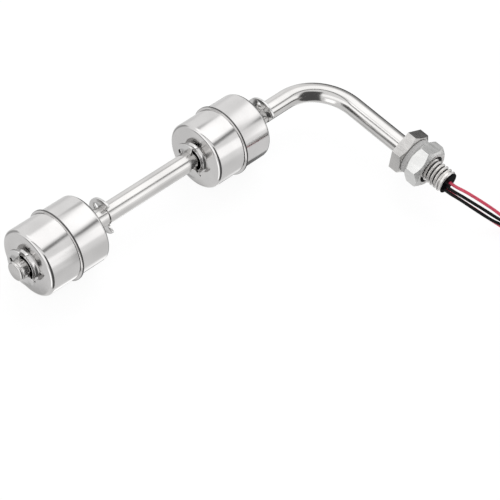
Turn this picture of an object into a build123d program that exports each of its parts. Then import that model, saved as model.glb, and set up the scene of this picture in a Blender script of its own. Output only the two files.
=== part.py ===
from build123d import *
import math
import os

# Elbow level sensor with two floats, in millimetres.
# The origin is the centre of the fitting's seat face. The thread points to -Y, the stem runs to -X,
# and the sensor lies flat, so that +Z is up.

# Stem
tube_diameter = 8.0
tube_wall = 1.0
bend_radius = 20.0  # centreline of the tube
stem_reach = 162.5  # thread axis to the tip
stem_offset = 53.5  # seat face to the stem's axis
nose_length = 1.2
nose_fillet = 0.8
nose_spigot = 3.0

# Stop rings and their grooves
groove_diameter = 7.0
groove_side_gap = 0.03
ring_thickness = 0.9
ring_diameter = 15.2
ring_fit = 0.02
ring_throat = 5.8  # the mouth where it grips the groove
ring_mouth = 13.9  # the mouth just beyond the outside
ring_throat_depth = 2.0
ring_mouth_depth = 5.4
pocket_width = 2.6
pocket_reach = 6.1
pocket_spread = 135.0  # degrees from the mouth
ring_tip_fillet = 0.8

# Floats
float_diameter = 28.0
float_length = 28.0
float_wall = 0.3
float_corner = 1.1
float_crown = 1.0
seam_diameter = 30.0
seam_flange = 0.35
seam_fillet = 0.15
boss_diameter = 13.4
boss_height = 0.5
float_bore = 9.6
bore_wall = 0.3
bore_lip = 0.3
weld_gap = 0.02
magnet_diameter = 14.4
magnet_length = 5.0
magnet_fit = 0.1

# Where each float's pair of stop rings is
float_travel = 7.5
lower_ring_depth = 3.4  # from the tip to the middle of the pair's outer ring
upper_ring_depth = 88.6
lower_float_slack = 0.55  # from the float to the end of its travel nearer to the tip
upper_float_slack = 0.85
lower_ring_turns = (133.0, 161.0)  # degrees from +Y towards +Z, outer ring and inner ring
upper_ring_turns = (150.0, 204.0)
stop_gap = 0.1  # left between a float and its ring at the end of its travel

# Fitting, washer and nut
thread_diameter = 10.0
thread_length = 18.7
thread_chamfer = 0.6
across_flats = 17.0
hex_thickness = 5.0
hex_turn = 34.9
hex_face_diameter = 16.6
chamfer_angle = 30.0
tube_socket = 4.0
socket_fit = 0.02
cable_bore = 6.0
washer_diameter = 15.6
washer_thickness = 2.3
washer_fillet = 0.3
nut_thickness = 7.2
nut_turn = 47.0
nut_face_diameter = 15.6
nut_chamfer_angle = 40.0
nut_mouth_diameter = 11.8  # the countersink at both ends of its thread
pitch_diameter = 9.0  # where the nut and the stub meet, halfway up their threads
thread_clearance = 0.05
nut_relief = 0.2  # the stub's full diameter starts this far beyond the nut

# Potting in the end of the thread
well_diameter = 8.4
well_depth = 3.0
potting_depth = 8.0
potting_fit = 0.02
potting_proud = 0.3
potting_edge = 0.2

# Switches inside the stem
strip_width = 5.6
strip_thickness = 0.8
strip_end_gap = 0.1
capsule_diameter = 2.2
capsule_length = 14.0
capsule_wall = 0.35
capsule_seal = 1.5
blade_diameter = 0.5
blade_length = 10.0
blade_overlap = 1.2
blade_offset = 0.3
glass_fit = 0.01
sleeve_diameter = 4.6

# Free wires
wire_diameter = 1.3
wire_pitch = 1.35
coil_turns = 4
coil_diameter = 15.6  # middle of its turns
coil_entry_x = 18.1
coil_entry_y = -54.0
coil_heading = -60.0  # degrees from +X, the way the wires run into the coil
coil_skin = 0.05
lead_in = 5.6  # the straight tubes stop this far before they touch the coil's turns
floor_gap = 0.05

tube_bore = tube_diameter - 2 * tube_wall
tube_end = stem_reach - nose_length
float_reach = float_length / 2 + float_crown + boss_height + bore_lip
stop_span = 2 * (float_reach + stop_gap) + float_travel + ring_thickness  # between the middles of a pair's rings
lower_station = stem_reach - lower_ring_depth - stop_span / 2  # from the thread axis to the middle of the pair
upper_station = stem_reach - upper_ring_depth - stop_span / 2
floor = -seam_diameter / 2
stem_line = Axis((0, stem_offset, 0), (1, 0, 0))
thread_end = -thread_length

os.makedirs("parts", exist_ok=True)


def save(part, name):
    """Label a finished piece and write it."""
    part.label = name
    export_step(part, f"parts/{name}.step")


def across_stem(distance, turn=0.0):
    """Plane square to the stem at this distance from the thread axis, its X turned from +Y towards +Z."""
    angle = math.radians(turn)
    return Plane(
        origin=(-distance, stem_offset, 0),
        x_dir=(0, math.cos(angle), math.sin(angle)),
        z_dir=(1, 0, 0),
    )


def along_stem(distance, side):
    """Plane through the stem's axis: X runs away from the distance to the side, Y is the radius."""
    return Plane(origin=(-distance, stem_offset, 0), x_dir=(side, 0, 0), z_dir=(0, -side, 0))


def across_thread(y):
    """Plane square to the thread, facing the way the thread points."""
    return Plane(origin=(0, y, 0), x_dir=(1, 0, 0), z_dir=(0, -1, 0))


# The places of the stop rings: the outer ring of a pair is nearer to the tip
stops = {
    "lower_stop_ring_outer": (lower_station + stop_span / 2, lower_ring_turns[0]),
    "lower_stop_ring_inner": (lower_station - stop_span / 2, lower_ring_turns[1]),
    "upper_stop_ring_outer": (upper_station + stop_span / 2, upper_ring_turns[0]),
    "upper_stop_ring_inner": (upper_station - stop_span / 2, upper_ring_turns[1]),
}
floats = {
    "lower_float": lower_station + float_travel / 2 - lower_float_slack,
    "upper_float": upper_station + float_travel / 2 - upper_float_slack,
}


# Stem tube: one bent tube with a groove for each stop ring
with BuildPart() as stem_tube:
    with BuildLine() as stem_path:
        stem_run = Line((-tube_end, stem_offset), (-bend_radius, stem_offset))
        bend = TangentArc(stem_run @ 1, (0, stem_offset - bend_radius), tangent=stem_run % 1)
        Line(bend @ 1, (0, hex_thickness - tube_socket))
    with BuildSketch(across_stem(tube_end)):
        Circle(tube_diameter / 2)
    sweep(path=stem_path.line)
    with BuildSketch(across_stem(tube_end)):
        Circle(tube_bore / 2)
    sweep(path=stem_path.line, mode=Mode.SUBTRACT)
    for distance, turn in stops.values():
        with BuildSketch(across_stem(distance)):
            Circle(tube_diameter / 2 + tube_wall)
            Circle(groove_diameter / 2, mode=Mode.SUBTRACT)
        extrude(amount=ring_thickness / 2 + groove_side_gap, both=True, mode=Mode.SUBTRACT)
save(stem_tube.part, "stem_tube")


# Nose plug: a rounded cap whose spigot sits in the tube
with BuildPart() as nose:
    with BuildSketch(across_stem(stem_reach)):
        Circle(tube_diameter / 2)
    extrude(amount=nose_length)
    fillet(nose.faces().sort_by(Axis.X)[0].edges(), nose_fillet)
    with BuildSketch(across_stem(tube_end)):
        Circle(tube_bore / 2 - weld_gap)
    extrude(amount=nose_spigot)
save(nose.part, "stem_nose_plug")


def make_stop_ring(name, distance, turn):
    """E-shaped stop ring pressed on sideways: an open mouth, two grip prongs and a back prong."""
    with BuildPart() as ring:
        with BuildSketch(across_stem(distance, turn)):
            Circle(ring_diameter / 2)
            Circle(groove_diameter / 2 + ring_fit, mode=Mode.SUBTRACT)
            with BuildLine():
                Polyline(
                    (0, ring_throat / 2),
                    (ring_throat_depth, ring_throat / 2),
                    (ring_mouth_depth, ring_mouth / 2),
                    (ring_diameter, ring_mouth),
                    (ring_diameter, -ring_mouth),
                    (ring_mouth_depth, -ring_mouth / 2),
                    (ring_throat_depth, -ring_throat / 2),
                    (0, -ring_throat / 2),
                    close=True,
                )
            make_face(mode=Mode.SUBTRACT)
            slot_length = pocket_reach - pocket_width / 2 - ring_throat_depth
            with PolarLocations(
                ring_throat_depth + slot_length / 2,
                2,
                start_angle=pocket_spread,
                angular_range=2 * (360 - 2 * pocket_spread),
            ):
                SlotCenterToCenter(slot_length, pocket_width, mode=Mode.SUBTRACT)
        extrude(amount=ring_thickness / 2, both=True)
        centre = across_stem(distance).origin
        corners = ring.edges().filter_by(Axis.X)
        tips = corners.filter_by(lambda edge: (edge.center() - centre).length > pocket_reach + ring_thickness)
        fillet(tips, ring_tip_fillet)
    save(ring.part, name)


for ring_name, (ring_place, ring_turn) in stops.items():
    make_stop_ring(ring_name, ring_place, ring_turn)


def make_float_shell(name, centre, side):
    """One drawn half of a float: side wall, crowned face with a raised boss, and a seam flange."""
    radius = float_diameter / 2
    rim = float_length / 2
    top = rim + float_crown
    boss = boss_diameter / 2
    seam = seam_diameter / 2
    hole = float_bore / 2 + bore_wall + weld_gap
    wall = float_wall
    half_way = (radius - float_corner + boss) / 2
    bulge = rim + float_crown * 0.7
    with BuildPart() as shell:
        with BuildSketch(along_stem(centre, side)):
            with BuildLine():
                Polyline(
                    (rim - float_corner, radius - wall),
                    (0, radius - wall),
                    (0, seam),
                    (seam_flange - seam_fillet, seam),
                )
                TangentArc(
                    (seam_flange - seam_fillet, seam),
                    (seam_flange, seam - seam_fillet),
                    tangent=(1, 0),
                )
                Polyline(
                    (seam_flange, seam - seam_fillet),
                    (seam_flange, radius),
                    (rim - float_corner, radius),
                )
                TangentArc(
                    (rim - float_corner, radius), (rim, radius - float_corner), tangent=(1, 0)
                )
                ThreePointArc((rim, radius - float_corner), (bulge, half_way), (top, boss))
                Polyline(
                    (top, boss),
                    (top + boss_height, boss - boss_height),
                    (top + boss_height, hole),
                    (top + boss_height - wall, hole),
                    (top + boss_height - wall, boss - boss_height - wall / 2),
                    (top - wall, boss - wall / 2),
                )
                ThreePointArc(
                    (top - wall, boss - wall / 2),
                    (bulge - wall, half_way),
                    (rim - wall, radius - float_corner),
                )
                TangentArc(
                    (rim - wall, radius - float_corner),
                    (rim - float_corner, radius - wall),
                    tangent=(0, 1),
                )
            make_face()
        revolve(axis=stem_line)
    save(shell.part, name)


def make_float(name, centre):
    """Float welded from two shells and a bore tube, with the ring magnet that works the switch."""
    make_float_shell(f"{name}_shell_front", centre, -1)
    make_float_shell(f"{name}_shell_rear", centre, 1)
    with BuildPart() as bore_tube:
        with BuildSketch(across_stem(centre)):
            Circle(float_bore / 2 + bore_wall)
            Circle(float_bore / 2, mode=Mode.SUBTRACT)
        extrude(amount=float_reach, both=True)
    save(bore_tube.part, f"{name}_bore_tube")
    with BuildPart() as magnet:
        with BuildSketch(across_stem(centre)):
            Circle(magnet_diameter / 2)
            Circle(float_bore / 2 + bore_wall + magnet_fit, mode=Mode.SUBTRACT)
        extrude(amount=magnet_length / 2, both=True)
    save(magnet.part, f"{name}_magnet")
    rest = centre - (lower_station if name == "lower_float" else upper_station)
    print(f"{name}: slides {rest - float_travel / 2:.3f} to {rest + float_travel / 2:.3f} mm along +X")


for float_name, float_place in floats.items():
    make_float(float_name, float_place)


def hexagon(start, thickness, turn, face_diameter, slope, both_ends):
    """Hexagonal prism from the start along the thread, a cone turning off its corners at one end or both."""
    widest = 0.6 * across_flats  # just outside the corners
    drop = (widest - face_diameter / 2) * math.tan(math.radians(slope))
    with BuildPart() as blank:
        with BuildSketch(across_thread(start)):
            RegularPolygon(across_flats / 2, 6, major_radius=False, rotation=turn)
        extrude(amount=thickness)
        with BuildSketch(Plane.XY):
            with BuildLine():
                Polyline(
                    (0, start),
                    (face_diameter / 2 if both_ends else widest, start),
                    (widest, start - drop),
                    (widest, start - thickness + drop),
                    (face_diameter / 2, start - thickness),
                    (0, start - thickness),
                    close=True,
                )
            make_face()
        revolve(axis=Axis.Y, mode=Mode.INTERSECT)
    return blank.part


# Fitting: hexagon with the tube's socket behind it and the hollow threaded stub in front
with BuildPart() as fitting:
    add(hexagon(hex_thickness, hex_thickness, hex_turn, hex_face_diameter, chamfer_angle, False))
    with BuildSketch(across_thread(0)):
        Circle(thread_diameter / 2)
    extrude(amount=thread_length)
    chamfer(fitting.faces().sort_by(Axis.Y)[0].edges(), thread_chamfer)
    with BuildSketch(across_thread(-washer_thickness)):
        Circle(thread_diameter / 2 + thread_clearance)
        Circle(pitch_diameter / 2, mode=Mode.SUBTRACT)
    extrude(amount=nut_thickness + nut_relief, mode=Mode.SUBTRACT)
    with BuildSketch(across_thread(hex_thickness)):
        Circle(cable_bore / 2)
    extrude(amount=hex_thickness + thread_length, mode=Mode.SUBTRACT)
    with BuildSketch(across_thread(hex_thickness)):
        Circle(tube_diameter / 2 + socket_fit)
    extrude(amount=tube_socket, mode=Mode.SUBTRACT)
    with BuildSketch(across_thread(thread_end + well_depth)):
        Circle(well_diameter / 2)
    extrude(amount=well_depth, mode=Mode.SUBTRACT)
save(fitting.part, "hex_fitting")


# Sealing washer between the seat face and the nut
with BuildPart() as washer:
    with BuildSketch(across_thread(0)):
        Circle(washer_diameter / 2)
        Circle(thread_diameter / 2 + thread_clearance, mode=Mode.SUBTRACT)
    extrude(amount=washer_thickness)
    washer_rims = washer.edges().filter_by(GeomType.CIRCLE).sort_by(SortBy.RADIUS)[-2:]
    fillet(washer_rims, washer_fillet)
save(washer.part, "sealing_washer")


# Mounting nut, with a countersink at both ends of its thread
with BuildPart() as nut:
    add(hexagon(-washer_thickness, nut_thickness, nut_turn, nut_face_diameter, nut_chamfer_angle, True))
    with BuildSketch(across_thread(-washer_thickness)):
        Circle(pitch_diameter / 2 + thread_clearance)
    extrude(amount=nut_thickness, mode=Mode.SUBTRACT)
    nut_mouths = nut.edges().filter_by(GeomType.CIRCLE).sort_by(SortBy.RADIUS)[:2]
    chamfer(nut_mouths, (nut_mouth_diameter - pitch_diameter) / 2 - thread_clearance)
save(nut.part, "mounting_nut")


# Potting: a plug in the end of the thread that spills over its end face, with a stem down the cable bore
with BuildPart() as potting:
    with BuildSketch(across_thread(thread_end + well_depth)):
        Circle(well_diameter / 2 - potting_fit)
    extrude(amount=well_depth + potting_fit)
    with BuildSketch(across_thread(thread_end - potting_fit)):
        Circle(thread_diameter / 2 - thread_chamfer)
    extrude(amount=potting_proud - potting_fit)
    fillet(potting.edges().filter_by(GeomType.CIRCLE).sort_by(Axis.Y)[0], potting_edge)
    with BuildSketch(across_thread(thread_end + well_depth + potting_depth)):
        Circle(cable_bore / 2 - potting_fit)
    extrude(amount=potting_depth)
save(potting.part, "epoxy_potting")


# Carrier strip that holds the switches in the straight stem
strip_start = tube_end - nose_spigot - strip_end_gap
with BuildPart() as strip:
    with BuildSketch(across_stem(strip_start)):
        Rectangle(strip_width, strip_thickness)
    extrude(amount=strip_start - bend_radius)
save(strip.part, "switch_carrier_strip")


def make_reed_switch(name, distance):
    """Glass capsule on the strip, with two blades that overlap in its middle."""
    lift = strip_thickness / 2 + capsule_diameter / 2 + weld_gap
    middle = Plane(origin=(-distance, stem_offset, lift), x_dir=(0, 1, 0), z_dir=(1, 0, 0))
    with BuildPart() as capsule:
        with BuildSketch(middle):
            Circle(capsule_diameter / 2)
        extrude(amount=capsule_length / 2, both=True)
        fillet(capsule.edges().filter_by(GeomType.CIRCLE), capsule_wall)
        with BuildSketch(middle):
            Circle(capsule_diameter / 2 - capsule_wall)
        extrude(amount=capsule_length / 2 - capsule_seal, both=True, mode=Mode.SUBTRACT)
        for side in (-1, 1):
            with BuildSketch(middle):
                with Locations((0, side * blade_offset)):
                    Circle(blade_diameter / 2 + glass_fit)
            extrude(amount=side * capsule_length / 2, mode=Mode.SUBTRACT)
    save(capsule.part, f"{name}_capsule")
    with BuildPart() as blades:
        for side in (-1, 1):
            with BuildSketch(middle.offset(-side * blade_overlap / 2)):
                with Locations((0, side * blade_offset)):
                    Circle(blade_diameter / 2)
            extrude(amount=side * blade_length)
    save(blades.part, f"{name}_blades")


make_reed_switch("lower_reed", lower_station)
make_reed_switch("upper_reed", upper_station)


# Sleeve with the inner leads, from the strip round the bend to the potting
sleeve_end = thread_end + well_depth + potting_depth + strip_end_gap
with BuildPart() as sleeve:
    with BuildLine() as sleeve_path:
        sleeve_bend = TangentArc(
            (-bend_radius + strip_end_gap, stem_offset),
            (0, stem_offset - bend_radius + strip_end_gap),
            tangent=(1, 0),
        )
        Line(sleeve_bend @ 1, (0, sleeve_end))
    with BuildSketch(across_stem(bend_radius - strip_end_gap)):
        Circle(sleeve_diameter / 2)
    sweep(path=sleeve_path.line)
save(sleeve.part, "inner_lead_sleeve")


# Free wires: each leaves the potting square to its face and sinks to its own layer of the coil
wire_start = thread_end - potting_proud
heading = Vector(1, 0, 0).rotate(Axis.Z, coil_heading)


def wire_height(layer):
    """Height of a wire's centreline in its layer of the coil, the lowest layer on the floor."""
    return floor + floor_gap + wire_diameter / 2 + layer * wire_pitch


def run_in(distance, height):
    """A point on the straight line into the coil, this far before it touches the turns."""
    return (coil_entry_x - heading.X * distance, coil_entry_y - heading.Y * distance, height)


routes = {
    "red_wire_1": [
        (0.5, wire_start, 0.3),
        (0.5, -21.6, 0.3),
        (2.2, -25.4, -0.2),
        (4.5, -29.8, -1.8),
        (7.3, -34.6, -4.1),
        (10.1, -39.2, -6.8),
        run_in(lead_in + 6.4, -9.4),
        run_in(lead_in, wire_height(3)),
    ],
    "black_wire_1": [
        (-0.9, wire_start, -1.0),
        (-0.9, -21.4, -1.1),
        (1.1, -25.4, -2.3),
        (3.6, -29.8, -4.2),
        (6.5, -34.5, -6.5),
        (9.3, -39.2, -8.9),
        run_in(lead_in + 6.4, -10.9),
        run_in(lead_in, wire_height(2)),
    ],
    "black_wire_2": [
        (-2.1, wire_start, -1.9),
        (-2.1, -21.5, -2.0),
        (-0.1, -25.3, -3.3),
        (2.6, -29.9, -5.7),
        (5.5, -34.6, -8.3),
        (8.5, -39.3, -10.7),
        run_in(lead_in + 6.4, -12.5),
        run_in(lead_in, wire_height(1)),
    ],
    "red_wire_2": [
        (-0.7, wire_start, -2.9),
        (-0.7, -21.6, -3.0),
        (1.1, -25.4, -4.6),
        (4.1, -29.8, -7.2),
        (7.0, -34.5, -9.8),
        (9.8, -39.1, -12.3),
        run_in(lead_in + 6.4, -14.1),
        run_in(lead_in, wire_height(0)),
    ],
}


def corner_radii(points):
    """The largest arcs that the runs beside each corner allow."""
    radii = []
    for before, corner, after in zip(points, points[1:], points[2:]):
        first = Vector(*corner) - Vector(*before)
        second = Vector(*after) - Vector(*corner)
        half_turn = math.radians(first.get_angle(second) / 2)
        radii.append(0.45 * min(first.length, second.length) / math.tan(half_turn))
    return radii


for wire_name, points in routes.items():
    radii = corner_radii(points)
    with BuildPart() as wire:
        with BuildLine() as wire_path:
            FilletPolyline(points, radius=radii)
        first_run = Vector(*points[1]) - Vector(*points[0])
        with BuildSketch(Plane(origin=points[0], z_dir=first_run)):
            Circle(wire_diameter / 2)
        sweep(path=wire_path.line)
    save(wire.part, wire_name)
    section = math.pi * wire_diameter**2 / 4
    wire_length = sum(edge.length for edge in wire_path.edges())
    print(f"{wire_name}: {wire_length:.1f} mm, radii", [round(r, 1) for r in radii])
    print(f"  volume {wire.part.volume:.2f}, section times length {section * wire_length:.2f}")


# Coil of the unseen length: a flat spiral of turns for each wire, one wire above the other
coil_width = coil_turns * wire_pitch
coil_outer = (coil_diameter + coil_width) / 2 + coil_skin
coil_inner = (coil_diameter - coil_width) / 2 - coil_skin
outer_turn = (coil_diameter + coil_width - wire_pitch) / 2
sideways = heading.rotate(Axis.Z, 90)
coil_centre = Vector(coil_entry_x, coil_entry_y, floor) + sideways * outer_turn
with BuildPart() as coil:
    with BuildSketch(Plane.XY.offset(floor)):
        with Locations((coil_centre.X, coil_centre.Y)):
            Circle(coil_outer)
            Circle(coil_inner, mode=Mode.SUBTRACT)
    extrude(amount=len(routes) * wire_pitch + floor_gap)
    fillet(coil.edges().filter_by(GeomType.CIRCLE).group_by(Axis.Z)[-1], wire_diameter / 2)
save(coil.part, "wire_coil")
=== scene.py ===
import math

import bpy
from mathutils import Matrix, Vector


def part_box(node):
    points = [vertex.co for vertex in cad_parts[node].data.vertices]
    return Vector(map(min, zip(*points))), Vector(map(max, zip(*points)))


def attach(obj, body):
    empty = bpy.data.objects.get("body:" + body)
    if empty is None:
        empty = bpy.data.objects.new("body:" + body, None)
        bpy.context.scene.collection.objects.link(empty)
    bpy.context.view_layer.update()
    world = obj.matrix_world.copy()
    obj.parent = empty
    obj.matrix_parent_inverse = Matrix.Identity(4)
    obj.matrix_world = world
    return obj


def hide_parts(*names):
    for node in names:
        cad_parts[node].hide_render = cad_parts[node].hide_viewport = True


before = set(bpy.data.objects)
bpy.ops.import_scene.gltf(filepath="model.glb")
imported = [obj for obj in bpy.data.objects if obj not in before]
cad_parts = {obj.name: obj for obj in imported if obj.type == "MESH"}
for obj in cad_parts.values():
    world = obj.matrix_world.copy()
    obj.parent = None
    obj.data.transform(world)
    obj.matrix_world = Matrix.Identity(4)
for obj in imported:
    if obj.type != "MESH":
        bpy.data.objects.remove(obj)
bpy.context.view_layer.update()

bl_info = {
    "name": "Elbow level sensor",
    "version": (1, 0, 0),
    "blender": (4, 5, 0),
    "location": "View3D > Sidebar > Sensor",
    "description": "Builds the stem, floats, fitting and wires of an elbow float level sensor",
    "category": "Object",
}

MM = 0.001
ORIGIN = Vector((0, 0, 0))

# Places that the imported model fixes, in metres
STEM_Y = 53.5 * MM
BEND_RADIUS = 20.0 * MM
TUBE_END_X = -161.3 * MM
TUBE_RADIUS = 4.0 * MM
GROOVE_RADIUS = 3.5 * MM
GROOVE_HALF = 0.48 * MM
TIP_X = -162.5 * MM
SOCKET_Y = 1.0 * MM
FLOOR_Z = -15.0 * MM
FLOATS = ("lower_float", "upper_float")
RINGS = tuple(f"{which}_stop_ring_{end}" for which in ("lower", "upper") for end in ("outer", "inner"))


def middle(node):
    """Middle of a CAD node's box."""
    low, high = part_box(node)
    return (Vector(low) + Vector(high)) / 2


# Settings that a user would change


class SensorSizes(bpy.types.PropertyGroup):
    """Sizes of the details that the dressed model adds."""

    thread_pitch: bpy.props.FloatProperty(
        name="Thread pitch", description="Rise of the thread in one turn", default=1.75 * MM,
        min=0.5 * MM, max=3 * MM, unit="LENGTH", precision=5)
    thread_depth: bpy.props.FloatProperty(
        name="Thread depth", description="Crest to root of the thread", default=1.05 * MM,
        min=0.2 * MM, max=1.5 * MM, unit="LENGTH", precision=5)
    edge_round: bpy.props.FloatProperty(
        name="Edge rounding", description="Rounding of the machined edges", default=0.12 * MM,
        min=0.02 * MM, max=0.5 * MM, unit="LENGTH", precision=5)
    ring_round: bpy.props.FloatProperty(
        name="Stop ring rounding", description="Rounding of the stamped ring edges", default=0.14 * MM,
        min=0.02 * MM, max=0.3 * MM, unit="LENGTH", precision=5)
    turned_sides: bpy.props.IntProperty(
        name="Turned sides", description="Facets round a turned piece", default=128, min=24, max=256)
    wire_diameter: bpy.props.FloatProperty(
        name="Wire diameter", description="Outer diameter of each free wire", default=1.3 * MM,
        min=0.5 * MM, max=4 * MM, unit="LENGTH", precision=5)


class SensorColours(bpy.types.PropertyGroup):
    """Colours of the finishes."""

    float_steel: bpy.props.FloatVectorProperty(
        name="Float steel", description="Polished steel of the floats", subtype="COLOR",
        default=(0.66, 0.65, 0.645), min=0, max=1)
    tube_steel: bpy.props.FloatVectorProperty(
        name="Tube steel", description="Polished steel of the stem", subtype="COLOR",
        default=(0.64, 0.63, 0.62), min=0, max=1)
    fitting_steel: bpy.props.FloatVectorProperty(
        name="Fitting steel", description="Turned and milled steel of the fitting", subtype="COLOR",
        default=(0.56, 0.55, 0.54), min=0, max=1)
    nut_steel: bpy.props.FloatVectorProperty(
        name="Nut steel", description="Bright steel of the nut", subtype="COLOR",
        default=(0.76, 0.76, 0.75), min=0, max=1)
    ring_steel: bpy.props.FloatVectorProperty(
        name="Ring steel", description="Stamped spring steel of the stop rings", subtype="COLOR",
        default=(0.64, 0.635, 0.63), min=0, max=1)
    washer_grey: bpy.props.FloatVectorProperty(
        name="Washer grey", description="Grey of the sealing washer", subtype="COLOR",
        default=(0.50, 0.495, 0.49), min=0, max=1)
    red: bpy.props.FloatVectorProperty(
        name="Red insulation", description="Red of two of the wires", subtype="COLOR",
        default=(0.66, 0.065, 0.12), min=0, max=1)
    black: bpy.props.FloatVectorProperty(
        name="Black insulation", description="Black of two of the wires", subtype="COLOR",
        default=(0.012, 0.012, 0.013), min=0, max=1)


def sizes():
    """The sizes in use."""
    return bpy.context.scene.sensor_sizes


def colours():
    """The colours in use."""
    return bpy.context.scene.sensor_colours


# Material building


def new_material(name):
    """Empty node material with a Principled shader and an output."""
    material = bpy.data.materials.new(name)
    material.use_nodes = True
    nodes = material.node_tree.nodes
    return material, nodes, material.node_tree.links, nodes["Principled BSDF"]


def stretched_noise(nodes, links, source, scale, detail=3.0):
    """Noise on the given coordinates, scaled by its own factor along each axis."""
    mapping = nodes.new("ShaderNodeMapping")
    mapping.inputs["Scale"].default_value = scale
    links.new(source, mapping.inputs["Vector"])
    noise = nodes.new("ShaderNodeTexNoise")
    noise.inputs["Scale"].default_value = 1.0
    noise.inputs["Detail"].default_value = detail
    links.new(mapping.outputs["Vector"], noise.inputs["Vector"])
    return noise.outputs["Fac"]


def mapped(nodes, links, value, low, high, start=0.3, end=0.7):
    """The value's usual range moved to the wanted one."""
    change = nodes.new("ShaderNodeMapRange")
    change.inputs["From Min"].default_value = start
    change.inputs["From Max"].default_value = end
    change.inputs["To Min"].default_value = low
    change.inputs["To Max"].default_value = high
    links.new(value, change.inputs["Value"])
    return change.outputs["Result"]


def tinted(nodes, links, factor, dark, light):
    """Colour between two by a factor."""
    mix = nodes.new("ShaderNodeMix")
    mix.data_type = "RGBA"
    mix.inputs["A"].default_value = (*dark, 1)
    mix.inputs["B"].default_value = (*light, 1)
    links.new(factor, mix.inputs["Factor"])
    return mix.outputs["Result"]


def raised(nodes, links, height, distance, strength=1.0, under=None):
    """Bump from a height, on top of another if there is one."""
    bump = nodes.new("ShaderNodeBump")
    bump.inputs["Strength"].default_value = strength
    bump.inputs["Distance"].default_value = distance
    links.new(height, bump.inputs["Height"])
    if under is not None:
        links.new(under, bump.inputs["Normal"])
    return bump.outputs["Normal"]


def shade(colour, factor):
    """The colour made darker or lighter by a factor."""
    return tuple(min(1.0, channel * factor) for channel in colour)


def steel(name, colour, rough, grain, fine, attribute=None, bump=0.00002, contrast=0.08):
    """Bright steel: drawn or brushed lines by the grain, small scratches, and patches of polish."""
    material, nodes, links, shader = new_material(name)
    if attribute:
        reader = nodes.new("ShaderNodeAttribute")
        reader.attribute_name = attribute
        source = reader.outputs["Vector"]
    else:
        source = nodes.new("ShaderNodeTexCoord").outputs["Object"]
    lines = stretched_noise(nodes, links, source, grain, 4.0)
    scratches = stretched_noise(nodes, links, source, fine, 2.0)
    patches = stretched_noise(nodes, links, source, (90, 90, 90), 2.0)
    shader.inputs["Metallic"].default_value = 1.0
    links.new(tinted(nodes, links, mapped(nodes, links, patches, 0, 1),
                     shade(colour, 1 - contrast), shade(colour, 1 + contrast)),
              shader.inputs["Base Color"])
    links.new(mapped(nodes, links, lines, rough * 0.75, rough * 1.3), shader.inputs["Roughness"])
    first = raised(nodes, links, lines, bump, 0.5)
    links.new(raised(nodes, links, scratches, bump * 0.4, 0.4, first), shader.inputs["Normal"])
    return material


def soft_plastic(name, colour, rough, grain=(900, 900, 900), bump=0.00002, spread=0.15, ior=1.5):
    """Rubber or plastic with fine grain and slight colour change."""
    material, nodes, links, shader = new_material(name)
    source = nodes.new("ShaderNodeTexCoord").outputs["Object"]
    cloud = stretched_noise(nodes, links, source, (160, 160, 160), 3.0)
    skin = stretched_noise(nodes, links, source, grain, 3.0)
    links.new(tinted(nodes, links, mapped(nodes, links, cloud, 0, 1),
                     shade(colour, 1 - spread), shade(colour, 1 + spread)),
              shader.inputs["Base Color"])
    links.new(mapped(nodes, links, skin, rough * 0.85, rough * 1.2), shader.inputs["Roughness"])
    links.new(raised(nodes, links, skin, bump), shader.inputs["Normal"])
    shader.inputs["IOR"].default_value = ior
    return material


def clear_glass(name):
    """Green tinged glass of a switch capsule."""
    material, nodes, links, shader = new_material(name)
    source = nodes.new("ShaderNodeTexCoord").outputs["Object"]
    cloud = stretched_noise(nodes, links, source, (400, 400, 400), 2.0)
    shader.inputs["Transmission Weight"].default_value = 1.0
    green = tinted(nodes, links, cloud, (0.75, 0.9, 0.8), (0.85, 0.97, 0.88))
    links.new(green, shader.inputs["Base Color"])
    links.new(mapped(nodes, links, cloud, 0.02, 0.06), shader.inputs["Roughness"])
    return material


# Modelling by hand, in small steps


def clear_selection():
    """Object mode with nothing selected."""
    if bpy.context.object and bpy.context.object.mode != "OBJECT":
        bpy.ops.object.mode_set(mode="OBJECT")
    bpy.ops.object.select_all(action="DESELECT")


def finish_piece(name, material, smooth=35.0):
    """Put the active object's place into its mesh, name it, smooth it and dress it."""
    if bpy.context.object.mode != "OBJECT":
        bpy.ops.object.mode_set(mode="OBJECT")
    bpy.ops.object.transform_apply(location=True, rotation=True, scale=True)
    bpy.ops.object.shade_smooth_by_angle(angle=math.radians(smooth))
    piece = bpy.context.object
    piece.name = name
    piece.data.name = name
    piece.data.materials.clear()
    piece.data.materials.append(material)
    return piece


def arc_points(centre, radius, start, end, steps):
    """Points on an arc, from the start angle to the end angle in degrees, in along and radius terms."""
    angles = [math.radians(start + (end - start) * i / steps) for i in range(steps + 1)]
    return [(centre[0] + radius * math.cos(a), centre[1] + radius * math.sin(a)) for a in angles]


def draw_line(points):
    """A line of vertices: one corner, extruded from point to point. It stays in edit mode."""
    clear_selection()
    bpy.ops.mesh.primitive_plane_add(size=MM, location=points[0])
    bpy.ops.object.transform_apply(location=True)
    bpy.ops.object.mode_set(mode="EDIT")
    bpy.ops.mesh.select_mode(type="VERT")
    bpy.ops.mesh.select_all(action="SELECT")
    bpy.ops.mesh.merge(type="CENTER")
    for before, after in zip(points, points[1:]):
        step = Vector(after) - Vector(before)
        bpy.ops.mesh.extrude_region_move(TRANSFORM_OT_translate={"value": step})


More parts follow.
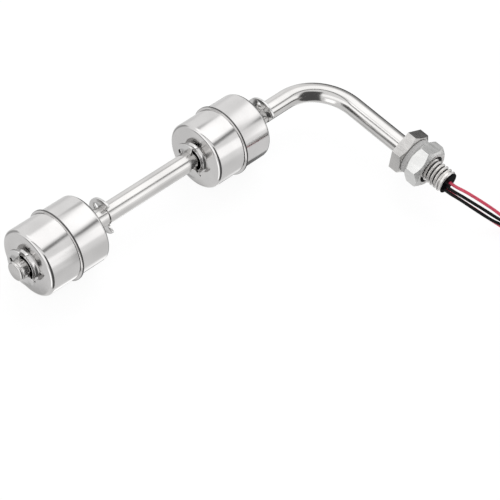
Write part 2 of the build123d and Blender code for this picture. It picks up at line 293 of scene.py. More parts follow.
def turn_profile(name, profile, centre, along, material, closed=True, smooth=35.0):
    """Turned piece: the profile's (along, radius) points in millimetres, spun about the axis."""
    along = Vector(along)
    out = Vector((0, 0, 1))
    points = [centre + along * (a * MM) + out * (r * MM) for a, r in profile]
    if closed:
        points.append(points[0])
    draw_line(points)
    bpy.ops.mesh.select_all(action="SELECT")
    bpy.ops.mesh.remove_doubles(threshold=1e-7)
    bpy.ops.mesh.spin(steps=sizes().turned_sides, angle=2 * math.pi, center=centre, axis=along)
    bpy.ops.mesh.select_all(action="SELECT")
    bpy.ops.mesh.remove_doubles(threshold=1e-6)
    bpy.ops.mesh.normals_make_consistent(inside=False)
    return finish_piece(name, material, smooth)


def apply_modifier(kind, **values):
    """Add a modifier to the active object, set it and apply it."""
    modifier = bpy.context.object.modifiers.new(kind.title(), kind)
    for key, value in values.items():
        setattr(modifier, key, value)
    bpy.ops.object.modifier_apply(modifier=modifier.name)


ACROSS_FLATS = 17.0  # of the fitting and the nut, in millimetres
WIDEST = 0.6 * ACROSS_FLATS  # just outside the corners


def hexagon_block(name, front, back, turn, face_radius, slope, both_ends, bore, material):
    """Hexagonal block with a bore, a cone turning off its corners at the front or at both ends."""
    drop = (WIDEST - face_radius) * math.tan(math.radians(slope))
    envelope = [(front, face_radius), (front + drop, WIDEST)]
    if both_ends:
        envelope += [(back - drop, WIDEST), (back, face_radius)]
    else:
        envelope.append((back, WIDEST))
    envelope += bore
    cutter = turn_profile("corner_cone", envelope, ORIGIN, (0, 1, 0), material)
    clear_selection()
    bpy.ops.mesh.primitive_cylinder_add(
        vertices=6, radius=ACROSS_FLATS / math.sqrt(3) * MM, depth=(back - front + 2) * MM,
        location=(0, (front + back) / 2 * MM, 0), rotation=(math.radians(90), 0, 0))
    bpy.ops.object.transform_apply(location=True, rotation=True)
    block = bpy.context.object
    corner = block.data.vertices[0].co
    now = math.atan2(corner.z, corner.x)
    block.data.transform(Matrix.Rotation(now - math.radians(turn), 4, "Y"))
    apply_modifier("BOOLEAN", operation="INTERSECT", solver="EXACT", object=cutter)
    bpy.data.objects.remove(cutter)
    apply_modifier("BEVEL", width=sizes().edge_round, segments=3, limit_method="ANGLE",
                   angle_limit=math.radians(20))
    piece = finish_piece(name, material, 30.0)
    apply_modifier("WEIGHTED_NORMAL", weight=100, keep_sharp=True)
    return piece


# Routes of the free wires, in millimetres, from the potting to the coil

ROUTES = {
    "red_wire_1": [
        (0.5, -19.0, 0.3), (0.5, -21.6, 0.3), (2.2, -25.4, -0.2), (4.5, -29.8, -1.8),
        (7.3, -34.6, -4.1), (10.1, -39.2, -6.8), (12.1, -43.608, -9.4), (15.3, -49.15, -10.25)],
    "black_wire_1": [
        (-0.9, -19.0, -1.0), (-0.9, -21.4, -1.1), (1.1, -25.4, -2.3), (3.6, -29.8, -4.2),
        (6.5, -34.5, -6.5), (9.3, -39.2, -8.9), (12.1, -43.608, -10.9), (15.3, -49.15, -11.6)],
    "black_wire_2": [
        (-2.1, -19.0, -1.9), (-2.1, -21.5, -2.0), (-0.1, -25.3, -3.3), (2.6, -29.9, -5.7),
        (5.5, -34.6, -8.3), (8.5, -39.3, -10.7), (12.1, -43.608, -12.5), (15.3, -49.15, -12.95)],
    "red_wire_2": [
        (-0.7, -19.0, -2.9), (-0.7, -21.6, -3.0), (1.1, -25.4, -4.6), (4.1, -29.8, -7.2),
        (7.0, -34.5, -9.8), (9.8, -39.1, -12.3), (12.1, -43.608, -14.1), (15.3, -49.15, -14.3)],
}
COIL_TURNS = 4
COIL_PITCH = 1.35
COIL_OUTER_TURN = 9.825
COIL_SQUEEZE = 0.99  # the turns lie this much of the pitch apart
COIL_FIRST_ARC = 0.25  # part of a turn before they start to wind inwards
COIL_POINTS_SHORT = 2  # the bare end stops this many points before a full turn
POINTS_A_TURN = 16
ENTRY = Vector((18.1, -54.0))
HEADING = math.radians(-60.0)


def coil_points(height):
    """The turns of one wire's flat spiral, from the outer turn inwards."""
    sideways = Vector((-math.sin(HEADING), math.cos(HEADING)))
    centre = ENTRY + sideways * COIL_OUTER_TURN
    start = HEADING - math.pi / 2
    points = []
    for i in range(COIL_TURNS * POINTS_A_TURN - COIL_POINTS_SHORT):
        turn = i / POINTS_A_TURN
        radius = COIL_OUTER_TURN - COIL_PITCH * max(0.0, turn - COIL_FIRST_ARC) * COIL_SQUEEZE
        angle = start + 2 * math.pi * turn
        points.append((centre.x + radius * math.cos(angle), centre.y + radius * math.sin(angle), height))
    return points


def wire_material(name, colour, ior):
    """Smooth insulation with a faint cloudiness."""
    return soft_plastic(name, colour, 0.34, grain=(200, 200, 200), bump=0.000002, spread=0.08, ior=ior)


def wire_curve(name, points, material):
    """A free wire as one smooth open spline through its route's points."""
    curve = bpy.data.curves.new(name, "CURVE")
    curve.dimensions = "3D"
    curve.bevel_depth = sizes().wire_diameter / 2
    curve.bevel_resolution = 6
    curve.resolution_u = 8
    curve.use_fill_caps = True
    spline = curve.splines.new("NURBS")
    spline.points.add(len(points) - 1)
    for target, point in zip(spline.points, points):
        target.co = (*(c * MM for c in point), 1)
    spline.order_u = 3
    spline.use_endpoint_u = True
    wire = bpy.data.objects.new(f"{name}_lead", curve)
    bpy.context.scene.collection.objects.link(wire)
    curve.materials.append(material)
    return wire


class SENSOR_OT_wires(bpy.types.Operator):
    """Lay the four free wires from the potting to their coil"""

    bl_idname = "sensor.wires"
    bl_label = "Wires"

    def execute(self, context):
        finishes = {"red": wire_material("red_insulation", colours().red, 1.5),
                    "black": wire_material("black_insulation", colours().black, 1.2)}
        for name, route in ROUTES.items():
            colour = name.split("_")[0]
            wire = wire_curve(name, route + coil_points(route[-1][2]), finishes[colour])
            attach(wire, "stem")
            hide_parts(name, "wire_coil")
        return {"FINISHED"}


class SENSOR_OT_stage(bpy.types.Operator):
    """Set up the camera, the floor, the lamps and the studio that the steel reflects"""

    bl_idname = "sensor.stage"
    bl_label = "Stage"

    def execute(self, context):
        place_camera()
        lay_floor()
        light_world()
        hang_lamps()
        return {"FINISHED"}


# Camera: place and turn fitted to the photograph, in metres and unit vectors
CAMERA_PLACE = (-0.43723, -0.24229, 0.51612)
CAMERA_RIGHT = (0.70162, -0.69881, 0.13927)
CAMERA_UP = (0.48527, 0.61173, 0.62474)
CAMERA_FOCAL = 1783.6  # in pixels of the 500 pixel frame
FRAME_PIXELS = 500
SENSOR_WIDTH = 36.0


def place_camera():
    """The camera at the photograph's angle."""
    right = Vector(CAMERA_RIGHT).normalized()
    up = Vector(CAMERA_UP)
    back = right.cross(up).normalized()
    up = back.cross(right)
    data = bpy.data.cameras.new("camera")
    data.sensor_width = SENSOR_WIDTH
    data.sensor_fit = "HORIZONTAL"
    data.lens = CAMERA_FOCAL / FRAME_PIXELS * SENSOR_WIDTH
    data.clip_start = 0.01
    data.clip_end = 20
    camera = bpy.data.objects.new("camera", data)
    bpy.context.scene.collection.objects.link(camera)
    camera.matrix_world = Matrix.Translation(CAMERA_PLACE) @ Matrix(
        (right, up, back)).transposed().to_4x4()
    bpy.context.scene.camera = camera


def maths(nodes, links, operation, *values):
    """Math node on sockets or plain numbers."""
    node = nodes.new("ShaderNodeMath")
    node.operation = operation
    for slot, value in zip(node.inputs, values):
        if isinstance(value, (int, float)):
            slot.default_value = value
        else:
            links.new(value, slot)
    return node.outputs["Value"]


def blend(nodes, links, factor, first, second):
    """Number between two by a factor."""
    mix = nodes.new("ShaderNodeMix")
    for key, value in (("Factor", factor), ("A", first), ("B", second)):
        if isinstance(value, (int, float)):
            mix.inputs[key].default_value = value
        else:
            links.new(value, mix.inputs[key])
    return mix.outputs["Result"]


def fade(nodes, links, value, half, soft):
    """One while the value's size is under the half width, then a soft fall to nothing."""
    change = nodes.new("ShaderNodeMapRange")
    change.interpolation_type = "SMOOTHSTEP"
    change.inputs["From Min"].default_value = half - soft / 2
    change.inputs["From Max"].default_value = half + soft / 2
    change.inputs["To Min"].default_value = 1.0
    change.inputs["To Max"].default_value = 0.0
    links.new(maths(nodes, links, "ABSOLUTE", value), change.inputs["Value"])
    return change.outputs["Result"]


def seen_directly(nodes, links):
    """One for what the camera sees itself or through glass, and nothing for other rays."""
    path = nodes.new("ShaderNodeLightPath")
    return maths(nodes, links, "MAXIMUM", path.outputs["Is Camera Ray"],
                 path.outputs["Is Transmission Ray"])


FLOOR_SIZE = 6.0
FLOOR_GAP = 0.02 * MM  # below the lowest CAD face
FLOOR_WHITE = 0.88
FLOOR_GLOW = 1.08  # brightness of the glow that keeps the floor as white as the background
FLOOR_GLOW_SHARE = 0.82  # the rest is a matt floor that takes the shadows


def lay_floor():
    """Plain pale floor that keeps a soft shadow, and leaves reflections to the studio panels."""
    clear_selection()
    bpy.ops.mesh.primitive_plane_add(size=FLOOR_SIZE, location=(0, 0, FLOOR_Z - FLOOR_GAP))
    material, nodes, links, shader = new_material("pale_floor")
    nodes.remove(shader)
    diffuse = nodes.new("ShaderNodeBsdfDiffuse")
    diffuse.inputs["Color"].default_value = (FLOOR_WHITE, FLOOR_WHITE, FLOOR_WHITE, 1)
    glow = nodes.new("ShaderNodeEmission")
    glow.inputs["Strength"].default_value = FLOOR_GLOW
    mix = nodes.new("ShaderNodeMixShader")
    share = maths(nodes, links, "MULTIPLY", seen_directly(nodes, links), FLOOR_GLOW_SHARE)
    links.new(share, mix.inputs["Fac"])
    links.new(diffuse.outputs[0], mix.inputs[1])
    links.new(glow.outputs[0], mix.inputs[2])
    links.new(mix.outputs[0], nodes["Material Output"].inputs["Surface"])
    floor = finish_piece("floor", material)
    floor.visible_glossy = False


# Studio panels that reflections see, painted one over the other: brightness, middle and half width
# round the horizon from +X, middle and half height above it, and softness, in degrees
PANELS = (
    (0.80, 0, 181, -60, 52, 20),
    (1.50, 48, 78, 68, 24, 12),
    (0.60, 51, 4, 36, 5, 6),
    (1.45, -133, 86, 23, 13, 9),
    (1.80, 147, 12, 50, 9, 8),
    (0.50, 131, 10, -61, 7, 6),
    (0.42, 105, 16, -18, 26, 12),
    (0.25, 160, 15, -14, 9, 10),
    (1.60, -155, 14, -31, 22, 8),
    (0.80, -43, 13, -40, 12, 10),
    (1.40, 0, 22, -64, 8, 10),
    (0.12, 13, 29, -24, 34, 10),
    (0.35, 21, 15, 22, 8, 10),
    (0.10, -101, 28, -2, 58, 7),
)
# Dark gap between the two overhead boxes: its pole, its half width and softness as sines,
# its brightness, and its lowest height with the softness there in degrees
GAP_POLE = (0.559, 0.822, 0.110)
GAP_HALF = 0.06
GAP_SOFT = 0.07
GAP_LEVEL = 0.22
GAP_BOTTOM = 36.0
GAP_BOTTOM_SOFT = 10.0
ZENITH = 90.0
WORLD_FILL = 0.5  # brightness of the surroundings for rays that light matt pieces


def paint_panels(nodes, links):
    """Brightness of the studio by direction: white, with the soft panels and the dark gap."""
    direction = nodes.new("ShaderNodeTexCoord").outputs["Generated"]
    parts = nodes.new("ShaderNodeSeparateXYZ")
    links.new(direction, parts.inputs[0])
    round_z = maths(nodes, links, "ARCTAN2", parts.outputs["Y"], parts.outputs["X"])
    turn = maths(nodes, links, "DEGREES", round_z)
    height = maths(nodes, links, "DEGREES", maths(nodes, links, "ARCSINE", parts.outputs["Z"]))
    level = 1.0
    for brightness, middle_turn, half_turn, middle_height, half_height, soft in PANELS:
        aside = maths(nodes, links, "SUBTRACT", turn, middle_turn)
        aside = maths(nodes, links, "WRAP", aside, 180.0, -180.0)
        across = fade(nodes, links, aside, half_turn, soft)
        above = maths(nodes, links, "SUBTRACT", height, middle_height)
        above = fade(nodes, links, above, half_height, soft)
        level = blend(nodes, links, maths(nodes, links, "MULTIPLY", across, above), level, brightness)
    dot = nodes.new("ShaderNodeVectorMath")
    dot.operation = "DOT_PRODUCT"
    dot.inputs[1].default_value = GAP_POLE
    links.new(direction, dot.inputs[0])
    strip = fade(nodes, links, dot.outputs["Value"], GAP_HALF, GAP_SOFT)
    from_zenith = maths(nodes, links, "SUBTRACT", height, ZENITH)
    over = fade(nodes, links, from_zenith, ZENITH - GAP_BOTTOM, GAP_BOTTOM_SOFT)
    return blend(nodes, links, maths(nodes, links, "MULTIPLY", strip, over), level, GAP_LEVEL)


def light_world():
    """White where it is seen, the painted studio in reflections, and a weaker fill for the rest."""
    world = bpy.data.worlds.new("surroundings")
    bpy.context.scene.world = world
    world.use_nodes = True
    nodes = world.node_tree.nodes
    links = world.node_tree.links
    path = nodes.new("ShaderNodeLightPath")
    studio = paint_panels(nodes, links)
    reflected = blend(nodes, links, path.outputs["Is Glossy Ray"], WORLD_FILL, studio)
    background = nodes["Background"]
    background.inputs["Color"].default_value = (1, 1, 1, 1)
    brightness = blend(nodes, links, seen_directly(nodes, links), reflected, 1.0)
    links.new(brightness, background.inputs["Strength"])


LAMP_TARGET = Vector((-0.07, 0.03, 0.0))
# Name, place and width in metres, and power in watts
LAMPS = (
    ("box_far", (0.62, 0.60, 0.95), 1.2, 6.5),
    ("box_near", (-0.55, -0.55, 0.85), 0.9, 3.6),
)


def hang_lamps():
    """Two large soft boxes overhead for the matt pieces and the floor."""
    for name, place, size, power in LAMPS:
        data = bpy.data.lights.new(name, "AREA")
        data.shape = "SQUARE"
        data.size = size
        data.energy = power
        lamp = bpy.data.objects.new(name, data)
        bpy.context.scene.collection.objects.link(lamp)
        turn = (Vector(place) - LAMP_TARGET).to_track_quat("Z", "Y")
        lamp.matrix_world = Matrix.Translation(place) @ turn.to_matrix().to_4x4()
        lamp.visible_glossy = False


# Half section of a float shell, in millimetres from its seam and its axis
FLOAT_RADIUS = 14.0
FLOAT_CORNER = 1.5
CORNER_START = 12.76  # where the straight wall ends
CORNER_END_ANGLE = 8.0
CROWN_TOP = 14.5  # height of the dome at the boss
BOSS_RADIUS = 6.7
BOSS_HEIGHT = 1.0
SEAM_RADIUS = 15.0
SEAM_HALF = 0.35  # the flange of one half
SEAM_ROUND = 0.12
SEAM_SHADE_FROM = 14.8  # painted shade on the front half's flange outside this radius, standing in for its dark reflection
SEAM_SHADE_FROM_REAR = 14.05  # painted shade on all of the rear half's flange, standing in for its dark reflection
SHELL_WALL = 0.3
SHELL_HOLE = 5.14
DOME_RADII = (12.4, 11.6, 10.8, 10.0, 9.2, 8.4, 7.6, 6.95)
WELD_GROOVE = (5.78, 5.72, 5.64, 5.58)  # radii of the turned groove round the weld, from outside in
WELD_DEPTH = 0.07
LINING_REACH = 15.8  # half the length of the bore tube
LINING_INNER = 4.8
LINING_OUTER = 5.1
LINING_EDGE = 0.1


def crown(radius):
    """Height of the shallow dome at this radius."""
    edge = FLOAT_RADIUS - FLOAT_CORNER * (1 - math.sin(math.radians(CORNER_END_ANGLE)))
    low = CORNER_START + FLOAT_CORNER * math.cos(math.radians(CORNER_END_ANGLE))
    return CROWN_TOP - (CROWN_TOP - low) * ((radius - BOSS_RADIUS) / (edge - BOSS_RADIUS)) ** 2


def float_profile():
    """Closed half section of one shell: seam flange, wall, corner, dome and boss, and back inside."""
    corner = (CORNER_START, FLOAT_RADIUS - FLOAT_CORNER)
    dome = [(crown(radius), radius) for radius in DOME_RADII]
    inside = [(along - SHELL_WALL, radius) for along, radius in reversed(dome)]
    top = CROWN_TOP + BOSS_HEIGHT
    flange = SEAM_RADIUS - SEAM_ROUND
    return (
        [(0.0, FLOAT_RADIUS - SHELL_WALL), (0.0, flange)]
        + arc_points((SEAM_ROUND / 2, flange), SEAM_ROUND / 2, 180, 90, 3)[1:]
        + arc_points((SEAM_HALF - SEAM_ROUND, flange), SEAM_ROUND, 90, 0, 4)
        + [(SEAM_HALF, FLOAT_RADIUS + 0.12), (SEAM_HALF + 0.05, FLOAT_RADIUS + 0.02),
           (SEAM_HALF + 0.15, FLOAT_RADIUS)]
        + arc_points(corner, FLOAT_CORNER, 90, CORNER_END_ANGLE, 12)
        + dome
        + [(CROWN_TOP, BOSS_RADIUS), (CROWN_TOP + 0.1, BOSS_RADIUS - 0.08), (top - 0.1, 6.32), (top, 6.2)]
        + [(top - depth, radius) for depth, radius in zip((0, WELD_DEPTH, WELD_DEPTH, 0), WELD_GROOVE)]
        + [(top, SHELL_HOLE), (top - SHELL_WALL, SHELL_HOLE), (top - SHELL_WALL, 6.0),
           (CROWN_TOP - 0.25, 6.6)]
        + inside
        + arc_points(corner, FLOAT_CORNER - SHELL_WALL, CORNER_END_ANGLE, 90, 6)
    )


def paint_shade_band(piece, centre, axis, low, high, material):
    """Give the faces between two distances from the piece's axis, in millimetres, a second material that
    paints shade.
    """
    piece.data.materials.append(material)
    for face in piece.data.polygons:
        away = face.center - centre
        away[axis] = 0
        if low * MM < away.length < high * MM:
            face.material_index = 1


def lining_profile():
    """Closed half section of the bore tube, its four edges broken."""
    end = LINING_REACH
    inset = end - LINING_EDGE
    inner = LINING_INNER + LINING_EDGE
    outer = LINING_OUTER - LINING_EDGE
    return [(-inset, LINING_INNER), (inset, LINING_INNER), (end, inner), (end, outer),
            (inset, LINING_OUTER), (-inset, LINING_OUTER), (-end, outer), (-end, inner)]


class SENSOR_OT_floats(bpy.types.Operator):
    """Turn the two halves and the bore tube of each float, and paint shade on their seam flanges"""

    bl_idname = "sensor.floats"
    bl_label = "Floats"

    def execute(self, context):
        bright = colours().float_steel
        skin = steel("float_polish", bright, rough=0.13, grain=(60, 900, 900), fine=(220, 2600, 2600),
                     bump=0.000012, contrast=0.05)
        bore = steel("bore_polish", shade(bright, 0.9), rough=0.2, grain=(80, 1200, 1200),
                     fine=(300, 3000, 3000))
        # painted shade: near black steel that stands in for the dark reflection along the seam flanges
        seam_shade = steel("seam_painted_shade", shade(bright, 0.18), rough=0.25, grain=(900, 900, 900),
                     fine=(3000, 3000, 3000), bump=0.00003, contrast=0.15)
        ferrite = soft_plastic("magnet_ferrite", (0.06, 0.06, 0.065), 0.55)
        for body in FLOATS:
            centre = middle(f"{body}_bore_tube")
            for half, side, shade_from in (("front", -1, SEAM_SHADE_FROM), ("rear", 1, SEAM_SHADE_FROM_REAR)):
                shell = turn_profile(f"{body}_{half}_skin", float_profile(), centre, (side, 0, 0), skin)
                # the flange faces beyond this radius take the painted shade
                paint_shade_band(shell, centre, 0, shade_from, SEAM_RADIUS + 1, seam_shade)
                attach(shell, body)
                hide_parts(f"{body}_shell_{half}")
            lining = turn_profile(f"{body}_bore_lining", lining_profile(), centre, (1, 0, 0), bore)
            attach(lining, body)
            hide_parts(f"{body}_bore_tube")
            dress(f"{body}_magnet", ferrite)
        return {"FINISHED"}


def dress(node, material):
    """Give a CAD node its finish."""
    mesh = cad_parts[node].data
    mesh.materials.clear()
    mesh.materials.append(material)


def write_grain(tube):
    """Store the unrolled place of each vertex: along the tube, and across it."""
    grain = tube.data.attributes.new("grain", "FLOAT_VECTOR", "POINT")
    corner = Vector((-BEND_RADIUS, STEM_Y - BEND_RADIUS))
    for vertex in tube.data.vertices:
        x, y, z = vertex.co
        if x <= corner.x:
            unrolled = (x, y - STEM_Y, z)
        elif y >= corner.y:
            away = Vector((x, y)) - corner
            turn = math.atan2(away.x, away.y)
            unrolled = (corner.x + turn * BEND_RADIUS, away.length - BEND_RADIUS, z)
        else:
            unrolled = (corner.x + math.pi / 2 * BEND_RADIUS + corner.y - y, x, z)
        grain.data[vertex.index].vector = unrolled


# Nose, in millimetres
NOSE_RADIUS = 4.0
NOSE_ROUND = 0.8
NOSE_LENGTH = 1.2
NOSE_SPIGOT = 2.9


def nose_profile():
    """Half section of the nose: flat tip, round edge, and the fine weld line where the tube starts."""
    flat = NOSE_RADIUS - NOSE_ROUND
    back = NOSE_LENGTH + 0.04
    return (
        [(0.0, 0.0), (0.0, flat)]
        + arc_points((NOSE_ROUND, flat), NOSE_ROUND, 180, 90, 8)[1:]
        + [(NOSE_LENGTH - 0.1, NOSE_RADIUS), (NOSE_LENGTH - 0.04, NOSE_RADIUS - 0.04),
           (NOSE_LENGTH, NOSE_RADIUS - 0.06), (back, NOSE_SPIGOT), (back, 0.0)]
    )


class SENSOR_OT_stem(bpy.types.Operator):
    """Draw the bent stem tube with its ring grooves, and its rounded nose"""

    bl_idname = "sensor.stem"
    bl_label = "Stem"

    def execute(self, context):
        polish = steel("tube_polish", colours().tube_steel, rough=0.14, grain=(25, 1500, 1500),
                       fine=(120, 5000, 5000), attribute="grain", bump=0.00001, contrast=0.06)
        stations = [(TUBE_END_X, TUBE_RADIUS)]
        for ring in sorted(RINGS, key=lambda node: middle(node).x):
            x = middle(ring).x
            stations += [(x - GROOVE_HALF, TUBE_RADIUS), (x - GROOVE_HALF, GROOVE_RADIUS),
                         (x + GROOVE_HALF, GROOVE_RADIUS), (x + GROOVE_HALF, TUBE_RADIUS)]
        stations.append((-BEND_RADIUS, TUBE_RADIUS))
        clear_selection()
        bpy.ops.mesh.primitive_circle_add(
            vertices=sizes().turned_sides, radius=TUBE_RADIUS, fill_type="NGON",
            location=(TUBE_END_X, STEM_Y, 0), rotation=(0, math.radians(90), 0))
        bpy.ops.object.transform_apply(location=True, rotation=True)
        bpy.ops.object.mode_set(mode="EDIT")
        bpy.ops.mesh.select_all(action="SELECT")
        for (x, radius), (next_x, next_radius) in zip(stations, stations[1:]):
            bpy.ops.mesh.extrude_region_move(TRANSFORM_OT_translate={"value": (next_x - x, 0, 0)})
            if next_radius != radius:
                ratio = next_radius / radius
                bpy.ops.transform.resize(value=(1, ratio, ratio), center_override=(next_x, STEM_Y, 0))
        bpy.ops.mesh.spin(steps=48, angle=math.radians(90), axis=(0, 0, 1),
                          center=(-BEND_RADIUS, STEM_Y - BEND_RADIUS, 0))
        bpy.ops.mesh.extrude_region_move(
            TRANSFORM_OT_translate={"value": (0, SOCKET_Y - (STEM_Y - BEND_RADIUS), 0)})
        bpy.ops.mesh.select_all(action="SELECT")
        bpy.ops.mesh.remove_doubles(threshold=1e-6)
        bpy.ops.mesh.normals_make_consistent(inside=False)
        tube = finish_piece("stem_skin", polish)
        write_grain(tube)
        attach(tube, "stem")
        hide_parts("stem_tube")
        cap = steel("nose_polish", colours().tube_steel, rough=0.16, grain=(600, 600, 600),
                    fine=(2500, 2500, 2500))
        tip = Vector((TIP_X, STEM_Y, 0))
        nose = turn_profile("stem_nose", nose_profile(), tip, (1, 0, 0), cap, closed=False)
        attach(nose, "stem")
        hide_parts("stem_nose_plug")
        return {"FINISHED"}


class SENSOR_OT_stop_rings(bpy.types.Operator):
    """Round the stamped edges of the four stop rings"""

    bl_idname = "sensor.stop_rings"
    bl_label = "Stop rings"

    def execute(self, context):
        finish = steel("ring_steel", colours().ring_steel, rough=0.14, grain=(500, 500, 500),
                       fine=(2000, 2000, 2000), bump=0.00001, contrast=0.06)
        for node in RINGS:
            clear_selection()
            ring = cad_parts[node].copy()
            ring.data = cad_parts[node].data.copy()
            ring.parent = None
            for key in list(ring.keys()):
                del ring[key]
            bpy.context.scene.collection.objects.link(ring)
            ring.hide_render = False
            ring.select_set(True)
            bpy.context.view_layer.objects.active = ring
            bpy.ops.object.mode_set(mode="EDIT")
            bpy.ops.mesh.select_all(action="SELECT")
            bpy.ops.mesh.remove_doubles(threshold=1e-6)
            bpy.ops.mesh.dissolve_limited(angle_limit=math.radians(1))
            bpy.ops.object.mode_set(mode="OBJECT")
            apply_modifier("BEVEL", width=sizes().ring_round, segments=3, limit_method="ANGLE",
                           angle_limit=math.radians(50))
            ring = finish_piece(f"{node}_stamped", finish)
            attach(ring, "stem")
            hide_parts(node)
        return {"FINISHED"}


# Thread and the well in its end, in millimetres from the seat face along Y
THREAD_RADIUS = 5.0
THREAD_END = -18.7
THREAD_END_RADIUS = 4.3
THREAD_FIRST = -20.6  # the sweep starts beyond the end, and is cut there
THREAD_TURNS = 12
THREAD_STEPS = 96
# One tooth, in parts of the pitch along the thread and of the depth up from the root
VALLEY_HEIGHT = 0.3
TOOTH = ((0.0, 0.0), (0.05, 0.0), (0.16, VALLEY_HEIGHT), (0.44, 1.0),
         (0.56, 1.0), (0.84, VALLEY_HEIGHT), (0.95, 0.0), (1.0, 0.0))
WELL_RADIUS = 4.2
WELL_FLOOR = -15.7
WELL_WALL = 0.15
HEAD_SOCKET = 4.02
POTTING_RADIUS = 4.18
POTTING_FLOOR = -15.72
POTTING_LIP = [(-18.60, POTTING_RADIUS), (-18.60, 4.4), (-18.52, 4.52), (-18.56, 4.62)]
POTTING_EDGE = (-18.72, 4.42)
POTTING_ROUND = 0.2
POTTING_DOME = 0.07
POTTING_RADII = (4.2, 3.5, 3.0, 2.5, 2.0, 1.5, 1.0, 0.5, 0.0)


def thread_envelope(y):
    """Largest radius of the thread at this height, in metres: it is chamfered at its free end."""
    return min(THREAD_RADIUS * MM, THREAD_END_RADIUS * MM + y - THREAD_END * MM)


def cut_square(y, outwards):
    """Cut what is selected square to the Y axis at this height and close it, outer side removed."""
    bpy.ops.mesh.select_all(action="SELECT")
    bpy.ops.mesh.bisect(plane_co=(0, y * MM, 0), plane_no=(0, outwards, 0), threshold=1e-7,
                        use_fill=True, clear_outer=True)


def cut_thread(material, shadow):
    """Helical thread: one tooth swept by the screw modifier, then turned down to the blank's outline; its
    valleys carry painted shade.
    """
    pitch = sizes().thread_pitch / MM
    depth = sizes().thread_depth / MM
    root = THREAD_RADIUS - depth
    draw_line([Vector((0, THREAD_FIRST + along * pitch, root + up * depth)) * MM for along, up in TOOTH])
    bpy.ops.object.mode_set(mode="OBJECT")
    apply_modifier("SCREW", axis="Y", angle=2 * math.pi, screw_offset=pitch * MM,
                   iterations=THREAD_TURNS, steps=THREAD_STEPS, render_steps=THREAD_STEPS,
                   use_merge_vertices=True, merge_threshold=1e-6)
    thread = bpy.context.object
    for vertex in thread.data.vertices:
        place = vertex.co
        radius = math.hypot(place.x, place.z)
        limit = thread_envelope(max(place.y, THREAD_END * MM))
        if radius > limit:
            place.x *= limit / radius
            place.z *= limit / radius
    bpy.ops.object.mode_set(mode="EDIT")
    bpy.ops.mesh.select_all(action="SELECT")
    bpy.ops.mesh.remove_doubles(threshold=1e-6)
    cut_square(THREAD_END, -1)
    cut_square(0.0, 1)
    bpy.ops.mesh.select_all(action="SELECT")
    bpy.ops.mesh.normals_make_consistent(inside=False)
    thread = finish_piece("fitting_thread", material, 40.0)
    # painted shade: the faces low in the valleys take the near black material
    paint_shade_band(thread, ORIGIN, 1, 0.0, root + VALLEY_HEIGHT * depth, shadow)
    return thread


def potting_profile():
    """Half section of the potting: it fills the well, covers the thread's end and is slightly domed."""
    face = POTTING_EDGE[0] - POTTING_ROUND
    return (
        [(POTTING_FLOOR, 0.0), (POTTING_FLOOR, POTTING_RADIUS)]
        + POTTING_LIP
        + arc_points(POTTING_EDGE, POTTING_ROUND, 80, 180, 6)
        + [(face - POTTING_DOME * (1 - (radius / WELL_RADIUS) ** 2), radius) for radius in POTTING_RADII]
    )


class SENSOR_OT_fitting(bpy.types.Operator):
    """Mill the hexagon, cut the thread and fill its end with potting"""

    bl_idname = "sensor.fitting"
    bl_label = "Fitting"

    def execute(self, context):
        plain = colours().fitting_steel
        milled = steel("fitting_steel", plain, rough=0.24, grain=(1500, 250, 1500),
                       fine=(4000, 1200, 4000), bump=0.00003, contrast=0.08)
        bright = steel("thread_steel", shade(plain, 1.5), rough=0.42, grain=(200, 1500, 200),
                       fine=(600, 4000, 600), bump=0.00001, contrast=0.06)
        # painted shade for the thread's valleys
        valley = steel("thread_valley_painted_shade", (0.1, 0.1, 0.098), rough=0.4, grain=(200, 1500, 200),
                       fine=(600, 4000, 600), contrast=0.2)
        head = hexagon_block("fitting_head", front=0.0, back=5.0, turn=34.9, face_radius=8.3, slope=30.0,
                             both_ends=False, bore=[(5.0, HEAD_SOCKET), (0.0, HEAD_SOCKET)],
                             material=milled)
        thread = cut_thread(bright, valley)
        wall = [(THREAD_END, WELL_RADIUS + WELL_WALL), (THREAD_END, WELL_RADIUS),
                (WELL_FLOOR, WELL_RADIUS), (WELL_FLOOR, WELL_RADIUS + WELL_WALL)]
        mouth = turn_profile("fitting_mouth", wall, ORIGIN, (0, 1, 0), bright)
        for piece in (head, thread, mouth):
            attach(piece, "stem")
            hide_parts("hex_fitting")
        resin = soft_plastic("potting_resin", (0.004, 0.004, 0.005), 0.25, grain=(250, 250, 250),
                             bump=0.00008, spread=0.1, ior=1.04)
        fill = turn_profile("potting_fill", potting_profile(), ORIGIN, (0, 1, 0), resin,
                            closed=False, smooth=60)
        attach(fill, "stem")
        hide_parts("epoxy_potting")
        return {"FINISHED"}


# Nut and washer, in millimetres: (along Y, radius) for the nut's bore, from the washer to its free face
NUT_BORE = [(-2.3, 5.9), (-3.15, 5.05), (-6.3, 5.05), (-6.4, 5.35), (-8.3, 5.35), (-9.5, 6.3)]
NUT_SHADE_RADIUS = 6.2  # the bore takes painted shade inside this radius
WASHER_RADIUS = 7.8
WASHER_HOLE = 5.05
WASHER_THICKNESS = 2.3
WASHER_ROUND = 0.3


def washer_profile():
    """Closed half section of the washer, its two outer edges rounded."""
    flat = WASHER_RADIUS - WASHER_ROUND
    far = WASHER_ROUND - WASHER_THICKNESS
    return (
        [(0.0, WASHER_HOLE), (0.0, flat)]
        + arc_points((-WASHER_ROUND, flat), WASHER_ROUND, 0, 90, 5)[1:]
        + [(far, WASHER_RADIUS)]
        + arc_points((far, flat), WASHER_ROUND, 90, 180, 5)[1:]
        + [(-WASHER_THICKNESS, WASHER_HOLE)]
    )


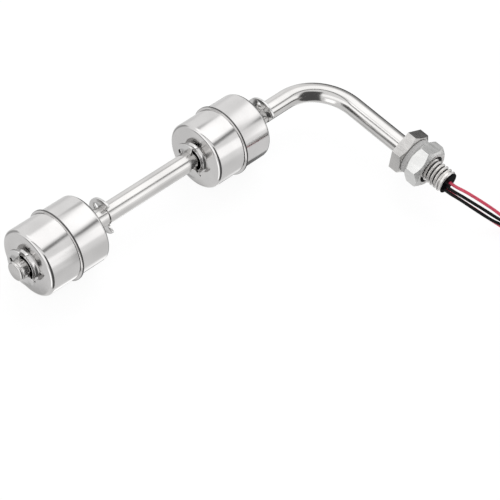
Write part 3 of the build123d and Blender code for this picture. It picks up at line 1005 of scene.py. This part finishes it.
class SENSOR_OT_nut_and_washer(bpy.types.Operator):
    """Mill the nut and mould the sealing washer"""

    bl_idname = "sensor.nut_and_washer"
    bl_label = "Nut and washer"

    def execute(self, context):
        bright = steel("nut_steel", colours().nut_steel, rough=0.3, grain=(700, 160, 700),
                       fine=(2600, 700, 2600), bump=0.00003, contrast=0.06)
        nut = hexagon_block("nut_block", front=-9.5, back=-2.3, turn=47.0, face_radius=7.8, slope=40.0,
                            both_ends=True, bore=NUT_BORE, material=bright)
        # painted shade: near black steel inside the nut's mouth and bore
        bore_shade = steel("nut_bore_painted_shade", (0.035, 0.035, 0.034), rough=0.45, grain=(700, 700, 700),
                      fine=(2600, 2600, 2600), contrast=0.3)
        paint_shade_band(nut, ORIGIN, 1, 0.0, NUT_SHADE_RADIUS, bore_shade)
        turned = steel("nut_face", colours().nut_steel, rough=0.55, grain=(700, 160, 700),
                       fine=(2600, 700, 2600), bump=0.00003, contrast=0.06)
        nut.data.materials.append(turned)
        for face in nut.data.polygons:
            if face.material_index == 0 and abs(face.normal.y) > 0.5:
                face.material_index = 2
        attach(nut, "stem")
        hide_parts("mounting_nut")
        grey = soft_plastic("washer_rubber", colours().washer_grey, 0.5, bump=0.00001, spread=0.05)
        washer = turn_profile("washer_ring", washer_profile(), ORIGIN, (0, 1, 0), grey)
        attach(washer, "stem")
        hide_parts("sealing_washer")
        return {"FINISHED"}


class SENSOR_OT_inner_parts(bpy.types.Operator):
    """Dress the switches, their strip and the lead sleeve inside the stem"""

    bl_idname = "sensor.inner_parts"
    bl_label = "Inner parts"

    def execute(self, context):
        dress("switch_carrier_strip", soft_plastic("board_fibre", (0.05, 0.2, 0.09), 0.45))
        dress("inner_lead_sleeve", soft_plastic("sleeve_shrink", (0.014, 0.014, 0.015), 0.4))
        glass = clear_glass("capsule_glass")
        blade = steel("blade_metal", (0.62, 0.6, 0.55), rough=0.3, grain=(100, 1500, 1500),
                      fine=(400, 4000, 4000))
        for which in ("lower", "upper"):
            dress(f"{which}_reed_capsule", glass)
            dress(f"{which}_reed_blades", blade)
        return {"FINISHED"}


class SENSOR_PT_parts(bpy.types.Panel):
    """Buttons and settings of the level sensor"""

    bl_idname = "SENSOR_PT_parts"
    bl_label = "Level sensor"
    bl_space_type = "VIEW_3D"
    bl_region_type = "UI"
    bl_category = "Sensor"

    def draw(self, context):
        layout = self.layout
        for group in (context.scene.sensor_sizes, context.scene.sensor_colours):
            for key in group.bl_rna.properties.keys():
                if key not in ("rna_type", "name"):
                    layout.prop(group, key)
        for operator in OPERATORS:
            layout.operator(operator.bl_idname)


OPERATORS = (
    SENSOR_OT_stage,
    SENSOR_OT_wires,
    SENSOR_OT_floats,
    SENSOR_OT_stem,
    SENSOR_OT_stop_rings,
    SENSOR_OT_fitting,
    SENSOR_OT_nut_and_washer,
    SENSOR_OT_inner_parts,
)
CLASSES = (SensorSizes, SensorColours, *OPERATORS, SENSOR_PT_parts)


def register():
    """Register the classes and hang the settings on the scene."""
    for each in CLASSES:
        bpy.utils.register_class(each)
    bpy.types.Scene.sensor_sizes = bpy.props.PointerProperty(type=SensorSizes)
    bpy.types.Scene.sensor_colours = bpy.props.PointerProperty(type=SensorColours)


def unregister():
    """Undo register."""
    del bpy.types.Scene.sensor_colours
    del bpy.types.Scene.sensor_sizes
    for each in reversed(CLASSES):
        bpy.utils.unregister_class(each)


def main():
    """Build the whole model."""
    register()
    bpy.context.scene.view_settings.view_transform = "Standard"
    bpy.ops.sensor.stage()
    bpy.ops.sensor.wires()
    bpy.ops.sensor.floats()
    bpy.ops.sensor.stem()
    bpy.ops.sensor.stop_rings()
    bpy.ops.sensor.fitting()
    bpy.ops.sensor.nut_and_washer()
    bpy.ops.sensor.inner_parts()
    clear_selection()


if __name__ == "__main__":
    main()
